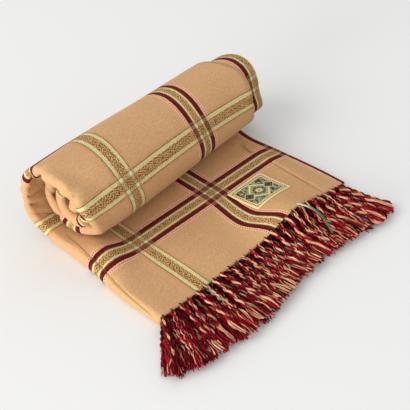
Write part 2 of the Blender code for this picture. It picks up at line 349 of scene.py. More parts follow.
def place(across, along, height):
    """Where a point of the stack lies once the stack is rolled, as an array of points in the row frame."""
    across, along, height = np.broadcast_arrays(*(np.asarray(v, float) for v in (across, along, height)))
    arc = along - TAIL - ROLL_YAW * across
    upper = np.clip((height - UNDER) / (TOP - UNDER), 0.0, 1.0)
    right = np.where(
        height > (SECOND + THIRD) / 2,
        through(*RIGHT_FOLD, arc) * near(STACK_WIDTH - across, EDGE_REACH),
        through(*SELVEDGES, arc) * near(SELVEDGE - across, EDGE_REACH),
    )
    sideways = across + through(*LEFT_FOLD, arc) * near(across, EDGE_REACH) + right
    arc = along - TAIL - ROLL_YAW * sideways
    x = sideways + through(*DRIFT, arc)

    lift = sum(rise * near(across - x, wide) * near(along - y, deep) for x, y, wide, deep, rise in LIFTS)
    drop = OVERHANG_DROP * eased((across - SELVEDGE) / (STACK_WIDTH - SELVEDGE)) * eased(-arc / OVERHANG_FADE)
    plump = 1 + PUFF * near(across, PUFF_REACH)
    raised = UNDER + (height - UNDER) * plump + upper * (lift - drop)

    radius = ROLL_RADIUS - ROLL_TAPER * x
    pitch = TURN_PITCH * plump
    angle = turn_angle(arc, radius - TURN_PITCH / 2, TURN_PITCH)
    spoke = radius - pitch * angle / math.tau - raised
    flat = arc < 0
    z = np.where(flat, raised, radius - spoke * np.cos(angle))
    y = np.where(flat, along - TAIL, ROLL_YAW * x + spoke * np.sin(angle) - ROLL_LEAN * (z - raised))
    return np.stack([x - ORIGIN_X, y - ORIGIN_Y, z], axis=-1)


def deselect_all():
    for obj in bpy.context.selected_objects:
        obj.select_set(False)


def grid_sheet(name, points, uv_columns, uv_rows):
    """A grid whose vertices are moved to the given rows of points, with its flat place as its UV map."""
    deselect_all()
    rows, columns = points.shape[:2]
    bpy.ops.mesh.primitive_grid_add(x_subdivisions=columns - 1, y_subdivisions=rows - 1, size=1.0)
    obj = bpy.context.active_object
    obj.name = name
    mesh = obj.data
    mesh.name = name
    mesh.vertices.foreach_set("co", points.reshape(-1).astype(np.float32))
    corner = np.empty(len(mesh.loops), np.int32)
    mesh.loops.foreach_get("vertex_index", corner)
    uv = np.stack([np.asarray(uv_columns)[corner % columns], np.asarray(uv_rows)[corner // columns]], axis=1)
    mesh.uv_layers.active.data.foreach_set("uv", uv.reshape(-1).astype(np.float32))
    mesh.update()
    mesh.shade_smooth()
    return obj


def thicken(obj, thickness):
    """Gives an open sheet its thickness, half to each side, and applies it."""
    shell = obj.modifiers.new("thickness", "SOLIDIFY")
    shell.thickness = thickness
    shell.offset = 0.0
    bpy.context.view_layer.objects.active = obj
    bpy.ops.object.modifier_apply(modifier=shell.name)


def finish_piece(obj, material, slot, *nodes):
    """Gives a piece its material, lets it stand for CAD nodes and ride on the rug's body. Its slot is not used.
    """
    obj.data.materials.clear()
    obj.data.materials.append(material)
    if nodes:
        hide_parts(*nodes)
    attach(obj, "root")


def adds(operation, swapped=False):
    """A method of values that adds a Math node."""

    def method(value, *others):
        return value.graph.math(operation, *((*others, value) if swapped else (value, *others)))

    return method


class Value:
    """An output of a node in a shader tree. Arithmetic on it adds Math nodes to that tree."""

    def __init__(self, graph, socket):
        self.graph = graph
        self.socket = socket

    __add__ = __radd__ = adds("ADD")
    __sub__ = adds("SUBTRACT")
    __rsub__ = adds("SUBTRACT", swapped=True)
    __mul__ = adds("MULTIPLY")
    __truediv__ = adds("DIVIDE")
    __pow__ = adds("POWER")
    __abs__ = adds("ABSOLUTE")
    __gt__ = adds("GREATER_THAN")
    __lt__ = adds("LESS_THAN")


class Graph:
    """Adds nodes to a shader tree or group and links them."""

    def __init__(self, tree):
        self.tree = tree

    def put(self, value, socket):
        """Links a value to an input, or sets the input to a constant."""
        if isinstance(value, Value):
            self.tree.links.new(value.socket, socket)
        else:
            socket.default_value = value

    def add(self, kind, inputs=(), output=0, **settings):
        """Adds a node with its settings and inputs, and gives one of its outputs."""
        made = self.tree.nodes.new(kind)
        for key, value in settings.items():
            setattr(made, key, value)
        for key, value in dict(inputs).items():
            self.put(value, made.inputs[key])
        return Value(self, made.outputs[output])

    def use(self, group, **inputs):
        """Places a group, its inputs given by name with _ for a space, and gives its outputs by name."""
        inputs = {key.replace("_", " "): value for key, value in inputs.items()}
        made = self.add("ShaderNodeGroup", inputs, node_tree=group).socket.node
        return {socket.name: Value(self, socket) for socket in made.outputs}

    def math(self, operation, *values, clamp=False):
        return self.add("ShaderNodeMath", dict(enumerate(values)), operation=operation, use_clamp=clamp)

    def mix(self, share, first, second, blend="MIX"):
        first, second = (c if isinstance(c, Value) else (*c, 1.0) for c in (first, second))
        inputs = {0: share, 6: first, 7: second}
        return self.add("ShaderNodeMix", inputs, 2, data_type="RGBA", blend_type=blend, clamp_factor=True)

    def ease(self, value, low, high, start=0.0, end=1.0):
        """Goes softly from start to end while the value goes from low to high."""
        inputs = {0: value, 1: low, 2: high, 3: start, 4: end}
        return self.add("ShaderNodeMapRange", inputs, interpolation_type="SMOOTHSTEP")

    def band(self, distance, low, high, soft):
        """1 between two distances and 0 outside them."""
        return self.ease(distance, low - soft, low + soft) * self.ease(
            distance, high - soft, high + soft, 1.0, 0.0
        )

    def toned(self, colour, tone):
        """A colour times a grey tone."""
        grey = self.add("ShaderNodeCombineColor", {0: tone, 1: tone, 2: tone})
        return self.mix(1.0, colour, grey, "MULTIPLY")

    def flat_place(self):
        """Both coordinates of a point on its piece's flat shape, from 0 to 1."""
        uv = self.add("ShaderNodeUVMap", uv_map="UVMap")
        return (self.add("ShaderNodeSeparateXYZ", {0: uv}, axis) for axis in (0, 1))


def start_group(name, inputs):
    """A new shader node group with its inputs' names and defaults: its graph, and its inputs by name."""
    group = bpy.data.node_groups.new(name, "ShaderNodeTree")
    for socket, default in inputs.items():
        kind = "NodeSocketVector" if isinstance(default, tuple) else "NodeSocketFloat"
        group.interface.new_socket(name=socket, in_out="INPUT", socket_type=kind).default_value = default
    graph = Graph(group)
    return graph, {socket.name: Value(graph, socket) for socket in group.nodes.new("NodeGroupInput").outputs}


def finish_group(graph, **outputs):
    """Gives a group its named outputs, and gives the group."""
    leave = graph.tree.nodes.new("NodeGroupOutput")
    for name, value in outputs.items():
        kind = "NodeSocketColor" if value.socket.type == "RGBA" else "NodeSocketFloat"
        graph.tree.interface.new_socket(name=name, in_out="OUTPUT", socket_type=kind)
        graph.put(value, leave.inputs[name])
    return graph.tree


def wool_fibre_group():
    """Fine fibres and soft clouding of wool, as a tone about 1 and a height for a bump."""
    if "wool fibre" in bpy.data.node_groups:
        return bpy.data.node_groups["wool fibre"]
    graph, given = start_group("wool fibre", {"Fibre scale": 900.0, "Clouding": 0.1, "Fleck": 0.16})
    where = graph.add("ShaderNodeTexCoord", output="Object")
    fibre = graph.add("ShaderNodeTexNoise", {"Vector": where, "Scale": given["Fibre scale"], "Detail": 3.0})
    cloud = graph.add("ShaderNodeTexNoise", {"Vector": where, "Scale": 22.0, "Detail": 3.0})
    tone = (fibre - 0.5) * given["Fleck"] + (cloud - 0.5) * given["Clouding"] + 1.0
    return finish_group(graph, Tone=tone, Height=fibre)


def crease_group():
    """How near a point of the flat cloth is to the bottom of a crease: 1 there, 0 at its reach and beyond."""
    if "crease" in bpy.data.node_groups:
        return bpy.data.node_groups["crease"]
    graph, given = start_group(
        "crease", {"Flat": (0.0, 0.0, 0.0), "Start": (0.0, 0.0, 0.0), "Run": (1.0, 0.0, 0.0), "Reach": 0.002}
    )

    def vector(operation, first, second, output="Value"):
        return graph.add("ShaderNodeVectorMath", {0: first, 1: second}, output, operation=operation)

    away = vector("SUBTRACT", given["Flat"], given["Start"], "Vector")
    whole = vector("DOT_PRODUCT", given["Run"], given["Run"])
    t = graph.math("DIVIDE", vector("DOT_PRODUCT", away, given["Run"]), whole, clamp=True)
    foot = graph.add("ShaderNodeVectorMath", {0: given["Run"], "Scale": t}, operation="SCALE")
    beside = graph.ease(vector("DISTANCE", away, foot), 0.0, given["Reach"], 1.0, 0.0)
    # It fades out towards both of its ends
    return finish_group(graph, Share=beside * (1.0 - abs(t * 2.0 - 1.0) ** 4.0))


def stripe_group(name, bands, settings):
    """A woven stripe: its colour, where it is and where it is pale. Zigzags cross its gold band."""
    graph, given = start_group(name, {"Distance": 0.0, "Along": 0.0})
    where = graph.add("ShaderNodeTexCoord", output="Object")
    coarse = graph.add("ShaderNodeTexNoise", {"Vector": where, "Scale": 260.0, "Detail": 2.0})
    waver = (coarse - 0.5) * WEAVE_WAVER
    distance = given["Distance"] + waver
    colour = settings.field
    mask = 0.0
    shares = {}
    for low, high, tint in bands:
        if tint == "dashes":
            turn = graph.math("FRACT", given["Along"] / DASH_PERIOD) > 0.5
            paint = graph.mix(turn, settings.straw, settings.umber)
        else:
            paint = getattr(settings, tint)
        shares[tint] = graph.band(distance, low, high, WEAVE_BLUR)
        colour = graph.mix(shares[tint], colour, paint)
        mask = graph.math("MAXIMUM", shares[tint], mask)
    tooth = graph.math("PINGPONG", given["Along"] + waver * 5.0, ZIGZAG_TOOTH)
    step = graph.math("FRACT", (tooth + distance) / ZIGZAG_PERIOD)
    colour = graph.mix(graph.band(step, *ZIGZAG_LINE) * shares["gold"], colour, settings.brown)
    return finish_group(graph, Colour=colour, Mask=mask, Pale=shares["cream"])


def start_material(name, roughness, sheen):
    """A material with its Principled shader set, and the graph to build on."""
    material = bpy.data.materials.new(name)
    material.use_nodes = True
    shader = material.node_tree.nodes["Principled BSDF"].inputs
    shader["Roughness"].default_value = roughness
    shader["Specular IOR Level"].default_value = WOOL_SHINE
    shader["Sheen Weight"].default_value = sheen
    shader["Sheen Roughness"].default_value = SHEEN_ROUGHNESS
    return material, Graph(material.node_tree)


def finish_material(graph, colour, height, depth, strength):
    """Puts a colour and a bump on the Principled shader."""
    shader = graph.tree.nodes["Principled BSDF"].inputs
    bump = graph.add("ShaderNodeBump", {"Height": height, "Distance": depth, "Strength": strength})
    graph.put(bump, shader["Normal"])
    graph.put(colour, shader["Base Color"])


def cloth_material(settings):
    """Napped wool with its woven check: stripes both ways, on the cloth's own flat coordinates."""
    wide = stripe_group("burgundy stripe", WIDE_STRIPE, settings)
    narrow = stripe_group("green stripe", NARROW_STRIPE, settings)
    material, graph = start_material("wool_check", 0.95, 0.03)
    across, along = graph.flat_place()
    across, along = across * RUG_WIDTH, along * RUG_LENGTH

    def wandering(drift):
        return sum(graph.ease(along, start, end, 0.0, shift) for start, end, shift in drift)

    # The right fold lies to one side of the middle stripe on the tail, and to its other side on the roll
    from_middle = abs(across - (wandering(MIDDLE_DRIFT) + CENTRE_STRIPE))

    # By the label the cloth is pulled askew where it rises
    pull = graph.band(across, BENT_WARP - BENT_REACH, BENT_WARP + BENT_REACH, BENT_REACH * 0.4)
    centre = abs(across - (pull * wandering(BENT_DRIFT) + CENTRE_STRIPE))

    # Both ends of the rug have the same stripes, and the outer ply's weft runs askew towards its selvedge
    from_end = graph.math("MINIMUM", along, RUG_LENGTH - along)
    from_end -= graph.math("MAXIMUM", 1.0 - across / WEFT_SKEW_REACH, 0.0) ** 3.0 * WEFT_SKEW

    # Over the roll's back the outer ply has slipped a little
    slipped = graph.band(across, *BACK_WEFT["across"], BACK_WEFT["soft"])
    slipped *= graph.band(along, *BACK_WEFT["along"], BACK_WEFT["soft"])
    from_end -= slipped * BACK_WEFT["shift"]

    def nearest(warps):
        return graph.math("MINIMUM", *(abs(centre - warp) for warp in warps))

    def repeated(first):
        inside = graph.math("MAXIMUM", from_end, first - WEFT_STEP)
        return abs(graph.math("WRAP", inside, first + WEFT_STEP, first - WEFT_STEP) - first)

    def both(wide_at, narrow_at, lengthwise):
        first = graph.use(wide, Distance=wide_at, Along=lengthwise)
        second = graph.use(narrow, Distance=narrow_at, Along=lengthwise)
        colour = graph.mix(second["Mask"], first["Colour"], second["Colour"])
        return colour, *(graph.math("MAXIMUM", first[key], second[key]) for key in ("Mask", "Pale"))

    wide_warp = graph.math("MINIMUM", from_middle, nearest(WIDE_WARPS))
    warp, warp_mask, warp_pale = both(wide_warp, nearest(NARROW_WARPS), along)
    weft, weft_mask, weft_pale = both(repeated(FIRST_WIDE_WEFT), repeated(FIRST_NARROW_WEFT), across)
    colour = graph.mix((1.0 - warp_mask * 0.5) * weft_mask, warp, weft)
    darker = graph.mix(1.0, warp, weft, "DARKEN")
    colour = graph.mix(warp_mask * weft_mask * CROSSING_DARK, colour, darker)
    colour = graph.mix(warp_pale * weft_pale * CROSSING_MINT, colour, settings.mint)

    away = graph.math("SQRT", (across - SPECK_ACROSS) ** 2.0 + (along - SPECK_ALONG) ** 2.0)
    colour = graph.mix(graph.band(away, -1.0, SPECK_SIZE, SPECK_BLUR), colour, settings.moss)

    # Painted shade: each crease is darker along its bottom, mixed towards brown
    point = graph.add("ShaderNodeCombineXYZ", {0: across, 1: along})
    painted_crease_shade_mask = 0.0
    for crease in CREASES:
        if crease.dark:
            found = graph.use(
                crease_group(),
                Flat=point,
                Start=(*crease.start, 0.0),
                Run=(*np.subtract(crease.end, crease.start), 0.0),
                Reach=CREASE_LINE * crease.dark,
            )
            painted_crease_shade_mask = graph.math("MAXIMUM", painted_crease_shade_mask, found["Share"])
    colour = graph.mix(painted_crease_shade_mask * settings.painted_crease_shade, colour, settings.brown)

    fibre = graph.use(wool_fibre_group(), Fibre_scale=520.0, Clouding=0.16, Fleck=0.75)
    twill = graph.math("SINE", (across + along) * (math.tau / TWILL_PERIOD))
    colour = graph.toned(colour, fibre["Tone"] + twill * 0.045)
    finish_material(graph, colour, fibre["Height"] + twill * 0.25, 0.0006, 0.38)
    return material


def steps(*stops):
    """Values through the stops, as (value, number of steps to it) pairs after the first value."""
    values = [stops[0]]
    for value, count in stops[1:]:
        values += list(np.linspace(values[-1], value, count + 1)[1:])
    return values


def half_circle(centre, low, high, side, count):
    """Points of a fold from height low to height high, bulging to one side: -1 for left, 1 for right."""
    radius = abs(high - low) / 2
    middle = (low + high) / 2
    turns = np.linspace(0, math.pi, count + 1)[1:-1]
    return [(centre + side * radius * math.sin(t), middle + (low - high) / 2 * math.cos(t)) for t in turns]


def fine_section():
    """Across and height of each column of the visible cloth, and its distance from the first selvedge."""
    left = (TOP - UNDER) / 2
    right = STACK_WIDTH - PLY_PITCH / 2
    inner = INNER_FOLD_SETBACK + PLY_PITCH / 2
    columns = [(x, UNDER) for x in steps(SELVEDGE, (0.3, 4), (0.06, 24), (left, 9))]
    columns += half_circle(left, UNDER, TOP, -1, 12)
    columns += [(x, TOP) for x in steps(left, (0.06, 9), (0.322, 28), (0.35, 24), (right, 5))]
    columns += half_circle(right, TOP, SECOND, 1, 8)
    columns += [(x, SECOND) for x in steps(right, (0.34, 3), (0.04, 14), (inner, 4))]
    columns += half_circle(inner, SECOND, THIRD, -1, 8)
    columns += [(x, THIRD) for x in steps(inner, (0.05, 4), (SELVEDGE, 12))]
    columns = np.array(columns)
    gaps = np.linalg.norm(np.diff(columns, axis=0), axis=1)
    return columns[:, 0], columns[:, 1], np.concatenate([[0.0], np.cumsum(gaps)])


def crease_depth(flat_across, flat_along):
    """How far the creases press the cloth in."""
    depth = np.zeros(np.broadcast(flat_across, flat_along).shape)
    for crease in CREASES:
        start = np.array(crease.start)
        run = np.array(crease.end) - start
        along_it = (flat_across - start[0]) * run[0] + (flat_along - start[1]) * run[1]
        t = np.clip(along_it / (run @ run), 0.0, 1.0)
        distance = np.hypot(flat_across - start[0] - t * run[0], flat_along - start[1] - t * run[1])
        depth += crease.deep * near(distance, crease.wide) * np.sqrt(np.sin(math.pi * (0.1 + 0.8 * t)))
    return depth


def cloth_surface(across, height, flat_across, along, offset):
    """Points of the cloth: its ply's middle, creased, and moved off along the ply's normal."""
    middle, ahead, behind = (
        place(across[None, :], along[:, None] + step, height[None, :])
        for step in (0.0, NORMAL_STEP, -NORMAL_STEP)
    )
    normal = np.cross(np.gradient(middle, axis=1), ahead - behind)
    normal /= np.linalg.norm(normal, axis=-1, keepdims=True)
    depth = crease_depth(flat_across[None, :], along[:, None])
    return middle + normal * (offset[:, None] - depth)[..., None]


class ClothSettings(bpy.types.PropertyGroup):
    thickness: length_property("Thickness", "Thickness of one layer of the cloth", 0.00125, 0.0005)
    # Strength of the painted shade along the creases' bottoms
    painted_crease_shade: FloatProperty(
        name="Crease shade", description="How dark the creases' bottoms are", default=0.55, min=0, max=1
    )
    field: hue("Field", "The plain ground of the check", 201, 157, 112)
    cream: hue("Cream", "The pale bands inside each stripe", 212, 194, 142)
    mint: hue("Mint", "The small squares where two pale bands cross", 206, 220, 184)
    burgundy: hue("Burgundy", "The dark bands of the wide stripe", 92, 20, 22)
    pink: hue("Pink", "The thin lines outside each burgundy band", 238, 174, 148)
    gold: hue("Gold", "The ground of the patterned middles", 204, 166, 108)
    straw: hue("Straw", "The light marks of the dashed line", 234, 196, 148)
    umber: hue("Umber", "The dark marks of the dashed line", 124, 74, 48)
    brown: hue("Brown", "The zigzags of the patterned middles", 110, 66, 32)
    moss: hue("Moss", "The dark line between cream and burgundy", 74, 60, 36)
    green: hue("Green", "The thin lines of the narrow stripe", 104, 122, 66)
    coral: hue("Coral", "The soft line outside the narrow stripe", 212, 138, 96)


class FringeSettings(bpy.types.PropertyGroup):
    yarn: length_property("Yarn", "Thickness of one yarn", 0.0017, 0.0005)
    lay: length_property("Lay", "Length of one full twist of a tassel", 0.021, 0.002)
    seed: IntProperty(name="Seed", description="Varies how the tassels fall", default=7, min=0)
    crimson: hue("Crimson", "The bright red yarns", 160, 16, 38)
    maroon: hue("Maroon", "The deep red yarns", 84, 10, 14)
    tan: hue("Tan", "The pale yarns", 222, 170, 130)
    rust: hue("Rust", "The brown yarns", 106, 48, 32)
    mint: hue("Mint", "The few pale green yarns", 178, 194, 152)
    green: hue("Green", "The loose roving over the top row", 60, 128, 88)
    mint_share: FloatProperty(
        name="Mint share", description="Share of tassels with pale green", default=0.6, min=0, max=1
    )


class LabelSettings(bpy.types.PropertyGroup):
    ground: hue("Ground", "The woven ground of the label", 236, 216, 156)
    slate: hue("Slate", "The grey of its panel", 124, 114, 104)
    leaf: hue("Leaf", "The green of its lozenge", 158, 168, 124)
    umber: hue("Umber", "The brown of its pattern and border", 74, 50, 38)
    thread: hue("Thread", "The sewing thread", 238, 220, 168)


class StageSettings(bpy.types.PropertyGroup):
    floor: hue("Floor", "The plain pale floor", 233, 233, 232)
    key: FloatProperty(name="Key light", description="Power of the large soft lights", default=195.0, min=0)
    fill: FloatProperty(name="Fill", description="Strength of the light from all round", default=0.745, min=0)
    focal: FloatProperty(name="Focal length", description="Of the camera, in mm", default=72.59, min=10)


class TRAVELRUG_OT_cloth(bpy.types.Operator):
    """Lays the check cloth, folded and rolled, over the frame's sheet"""

    bl_idname = "travelrug.cloth"
    bl_label = "Cloth"

    def execute(self, context):
        settings = context.scene.travel_rug_cloth
        across, height, flat_across = fine_section()
        roll = TAIL + ROLL_YAW * STACK_WIDTH / 2
        outer = np.array(steps(0.0, (roll, 44), (0.25, 12), (0.38, 56), (0.65, 58), (STACK_LENGTH, 44)))
        fold = np.linspace(0, math.pi, 5)[1:-1]
        inner = np.array(steps(STACK_LENGTH, (0.65, 28), (roll, 34), (0.0, 14)))
        along = np.concatenate([outer, STACK_LENGTH + LAYER_OFFSET * np.sin(fold), inner])
        side = np.concatenate([np.ones(len(outer)), np.cos(fold), -np.ones(len(inner))])
        from_fringe = np.concatenate([outer, np.full(len(fold), STACK_LENGTH), RUG_LENGTH - inner])
        points = cloth_surface(across, height, flat_across, along, LAYER_OFFSET * side)
        cloth = grid_sheet("rug_folds", points, flat_across / RUG_WIDTH, from_fringe / RUG_LENGTH)
        thicken(cloth, settings.thickness)
        finish_piece(cloth, cloth_material(settings), "rug_cloth", "rug_cloth")
        return {"FINISHED"}


def label_material(settings):
    """A small damask label: a dashed border, a mottled panel, stepped lozenges and an eight-petal star."""
    material, graph = start_material("label_weave", 0.85, 0.05)
    u, v = graph.flat_place()
    x, y = u - 0.5, (v - 0.5) * LABEL_HEIGHT
    wide, tall = abs(x), abs(y)

    # An even frame of dashes
    edge = graph.math("MAXIMUM", wide - 0.5, tall - LABEL_HEIGHT / 2) * -1.0
    beside = wide - tall > (1 - LABEL_HEIGHT) / 2
    run = graph.add("ShaderNodeMix", {0: beside, 2: x, 3: y}, data_type="FLOAT")
    dash = graph.math("SINE", run * LABEL_DASHES) > -0.1
    colour = graph.mix(graph.band(edge, *LABEL_FRAME, 0.004) * dash, settings.ground, settings.umber)

    # A mottled dark panel with stepped lozenges, the largest in its middle
    cells = {axis: graph.math("SNAP", at, LABEL_CELL) for axis, at in enumerate((x, y))}
    cell = graph.add("ShaderNodeCombineXYZ", cells)
    mottle = graph.add("ShaderNodeTexWhiteNoise", {"Vector": cell}, noise_dimensions="3D")
    panel = graph.mix(mottle > 0.62, settings.slate, settings.leaf)
    panel = graph.mix(mottle < 0.3, panel, settings.umber)
    colour = graph.mix(graph.band(edge, LABEL_PANEL, 1.0, 0.004), colour, panel)
    for centre, size, filling in ((0.0, 0.27, "leaf"), (0.285, 0.115, "umber")):
        lozenge = graph.math("SNAP", abs(wide - centre) * 0.9 + tall, LABEL_STEP)
        for low, high, tint in LOZENGE_PARTS:
            share = graph.band(lozenge, size * low, size * high, 0.003)
            colour = graph.mix(share, colour, getattr(settings, tint or filling))

    # The star
    reach = graph.math("SQRT", x * x + y * y)
    petals = abs(graph.math("COSINE", graph.math("ARCTAN2", y, x) * 4.0))
    star = reach / (petals * 0.55 + 0.45)
    for distance, size, soft, tint in (
        (star, 0.135, 0.005, settings.umber),
        (star, 0.085, 0.005, settings.ground),
        (reach, 0.026, 0.004, settings.slate),
    ):
        colour = graph.mix(graph.band(distance, -1.0, size, soft), colour, tint)

    fibre = graph.use(wool_fibre_group(), Fibre_scale=2400.0, Clouding=0.1, Fleck=0.4)
    colour = graph.toned(colour, fibre["Tone"])
    weft = graph.math("SINE", v * (math.tau * LABEL_WEFTS))
    finish_material(graph, colour, fibre["Height"] + weft * 0.4, 0.0003, 0.5)
    return material


def label_points(across, along, rise):
    """Points above the top ply's upper face, on its normal."""
    middle = place(across, along, TOP)
    sideways = place(across + NORMAL_STEP, along, TOP) - place(across - NORMAL_STEP, along, TOP)
    inwards = place(across, along + NORMAL_STEP, TOP) - place(across, along - NORMAL_STEP, TOP)
    normal = np.cross(sideways, inwards)
    return middle + normal / np.linalg.norm(normal, axis=-1, keepdims=True) * rise


def yarn_piece(name, lines, width):
    """Yarns as one mesh: each line is (points, radius shares, colours), with a colour for each point."""
    deselect_all()
    data = bpy.data.curves.new(name, "CURVE")
    data.dimensions = "3D"
    data.bevel_depth = width / 2
    data.bevel_resolution = 0
    tints = []
    for points, radii, colours in lines:
        # A last ring of no width closes each end
        points = np.concatenate([points[:1], points, points[-1:]])
        radii = np.concatenate([[0.0], np.broadcast_to(radii, len(colours)), [0.0]])
        colours = np.concatenate([colours[:1], colours, colours[-1:]])
        points[0] -= 0.1 * (points[2] - points[1])
        points[-1] += 0.1 * (points[-2] - points[-3])
        spline = data.splines.new("POLY")
        spline.points.add(len(points) - 1)
        spline.points.foreach_set("co", np.column_stack([points, np.ones(len(points))]).reshape(-1))
        spline.points.foreach_set("radius", radii)
        tints.append(colours)
    obj = bpy.data.objects.new(name, data)
    bpy.context.scene.collection.objects.link(obj)
    obj.select_set(True)
    bpy.context.view_layer.objects.active = obj
    bpy.ops.object.convert(target="MESH")
    obj = bpy.context.active_object
    mesh = obj.data
    mesh.name = name
    tints = np.concatenate(tints)
    sides = len(mesh.vertices) // len(tints)
    # The colours go to a point attribute, with painted shade on tassels that lie below others
    attribute = mesh.color_attributes.new(name="yarn_colour", type="FLOAT_COLOR", domain="POINT")
    yarn_colour = np.column_stack([np.repeat(tints, sides, axis=0), np.ones(len(mesh.vertices))])
    attribute.data.foreach_set("color", yarn_colour.reshape(-1).astype(np.float32))
    bpy.ops.object.mode_set(mode="EDIT")
    bpy.ops.mesh.select_all(action="SELECT")
    bpy.ops.mesh.remove_doubles(threshold=0.000002)
    bpy.ops.object.mode_set(mode="OBJECT")
    mesh.shade_smooth()
    return obj


def yarn_material(name):
    """Wool yarn that takes its colour, painted shade included, from the piece's own colour attribute."""
    material, graph = start_material(name, 0.95, 0.02)
    yarn_colour = graph.add("ShaderNodeVertexColor", layer_name="yarn_colour")
    fibre = graph.use(wool_fibre_group(), Fibre_scale=1500.0, Clouding=0.25, Fleck=0.55)
    finish_material(graph, graph.toned(yarn_colour, fibre["Tone"]), fibre["Height"], 0.0006, 0.7)
    return material


def wave(chance, share, low, high):
    """A sine along a yarn, with a random start and a random number of turns."""
    return np.sin(math.tau * (share * chance.uniform(low, high) + chance.uniform()))


def tassel(chance, settings, root, heading, length, rest, depth):
    """The yarns of one tassel: a red strand and a paler one, twisted near the root and loose at the tip.

    depth is the strength of the painted shade near its root: 0 for a tassel of the top row, and more for one
    that lies below others.
    """
    share = np.linspace(0, 1, TASSEL_RINGS)
    loose = eased((share - chance.uniform(*LOOSE_FROM)) / LOOSE_OVER)
    side = np.array([-heading[1], heading[0], 0.0])
    bend = TASSEL_BEND * wave(chance, share, 0.5, 1.1) * share
    middle = root + heading * (length * share)[:, None] + side * bend[:, None]
    middle[:, 2] = root[2] + (rest - root[2]) * eased(share / SETTLED_AT)
    turns = length / settings.lay * np.cumsum(np.gradient(share) * (1 - LOST_TWIST * loose))
    begin = chance.uniform(0, math.tau)
    head = HEAD_WIDTH + (1 - HEAD_WIDTH) * eased(share / HEAD_LENGTH)
    flatten = TASSEL_FLATNESS * (1 - LOOSE_FLATNESS * loose)
    minted = depth == 0 and chance.uniform() < settings.mint_share * near(root[0] + MINT_AT, MINT_REACH)
    # Painted shade, darker near the root of a tassel that lies below others
    painted_shade_factor = 1 - depth * near(share, SHADED_LENGTH)
    dyes = np.array([settings.crimson[:3], settings.maroon[:3], settings.tan[:3], settings.rust[:3]])
    lines = []
    for strand, odds in enumerate(LOWER_DYES if depth == LOWER_SHADE else STRAND_DYES):
        around = begin + math.pi * strand - math.tau * turns
        spread = STRAND_SPREAD * (1 + 0.8 * loose) * head
        spin = chance.uniform(0, math.tau)
        stray = chance.normal(0, TASSEL_STRAY, 2)
        for yarn in range(YARNS_IN_STRAND):
            inside = -STRAND_TWIST * around + spin + math.tau * yarn / YARNS_IN_STRAND
            reach = YARN_SPREAD * (1 + 0.7 * loose) * head
            drift = stray + chance.normal(0, TASSEL_STRAY, 2)
            out = spread * np.cos(around) + reach * np.cos(inside) + drift[0] * loose
            high = (spread * np.sin(around) + reach * np.sin(inside)) * flatten + abs(drift[1]) * loose
            cut = chance.uniform(*YARN_CUTS) * length * share**4
            points = middle + side * out[:, None] + heading * cut[:, None]
            points[:, 2] = np.maximum(points[:, 2] + high, settings.yarn * YARN_ON_FLOOR)
            radii = np.where(share > 0.97, 0.8, 1.0) * head * chance.uniform(*YARN_WIDTHS)
            yarn_colour = dyes[chance.choice(len(dyes), p=odds)]
            mottle = 1 + 0.2 * wave(chance, share, 2, 6)
            colours = yarn_colour[None, :] * mottle[:, None] * chance.uniform(*YARN_TONES)
            if minted:
                speckled = eased(0.5 + np.sin(math.tau * (MINT_SPECKLES * share + chance.uniform())))
                pale = (near(share - MINT_LENGTH[0], MINT_LENGTH[1]) * speckled)[:, None]
                colours = colours * (1 - pale) + np.array(settings.mint[:3]) * pale
            lines.append((points, radii, np.clip(colours * painted_shade_factor[:, None], 0, 1)))
    return lines


def row_of_tassels(settings, row, level, chance):
    """All yarns of one row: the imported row's tassels, and those of the ply's lower layer half a pitch off."""
    lines = []
    top_row = level == len(FRINGE_ROWS) - 1
    rest = TASSEL_HEIGHT / 2 + level * TASSEL_ROW_RISE
    last = row["start"] + (row["count"] - 1) * TASSEL_PITCH
    far_edge = STACK_WIDTH if level > 1 else SELVEDGE
    for lower in (False, True):
        first = row["start"] - (TASSEL_PITCH / 2 if lower else 0.0)
        places = np.arange(first, last + TASSEL_PITCH * 0.75, TASSEL_PITCH)
        if lower:
            places = np.concatenate([places, np.array(SPLAYED_TASSELS) + level * SPLAYED_STEP])
        drop, layer_length = (LOWER_LAYER_DROP, LOWER_LENGTH) if lower else (0.0, 1.0)
        # How strong the painted shade near the roots is
        depth = LOWER_SHADE if lower else (0.0 if top_row else ROW_SHADE)
        for across in places:
            if not EDGE_TASSEL < across < far_edge - EDGE_TASSEL:
                continue
            lean = float(through(SPLAY_ACROSS, SPLAY_LEAN, across)) + chance.normal(0, TASSEL_LEAN)
            share = float(through(SPLAY_ACROSS, SPLAY_SHARE, across))
            length = row["length"] * share * chance.uniform(*TASSEL_LENGTHS) * layer_length
            root = place(across, TASSEL_ROOT, row["ply"]) + np.array([0.0, 0.0, TASSEL_ROOT_RISE])
            root[2] -= drop / 2
            heading = np.array([math.sin(lean), -math.cos(lean), 0.0])
            lying = max(rest - drop, TASSEL_HEIGHT / 2)
            lines += tassel(chance, settings, root, heading, length, lying, depth)
    return lines


def roving(settings):
    """One untwisted roving that arcs over the top row: pale where it leaves the cloth, then green."""
    share = np.linspace(0, 1, 14)
    arch = np.sin(math.pi * share)
    root = place(ROVING_ACROSS, 0.0, TOP) + np.array(ROVING_ROOT)
    points = root + np.array([0.0, -ROVING_LENGTH, 0.0]) * share[:, None]
    points[:, 0] += ROVING_SWAY[0] * arch + ROVING_SWAY[1] * share
    points[:, 2] += ROVING_RISE[0] * arch + ROVING_RISE[1] * share**2
    green = eased((share - 0.15) / 0.35)[:, None]
    yarn_colour = np.array(settings.mint[:3]) * 1.1 * (1 - green) + np.array(settings.green[:3]) * green
    radii = np.where(share > 0.9, 0.7, 1.2)
    halves = (points + np.array([shift, 0.0, 0.0]) for shift in (-ROVING_HALF, ROVING_HALF))
    return [(half, radii, np.clip(yarn_colour, 0, 1)) for half in halves]


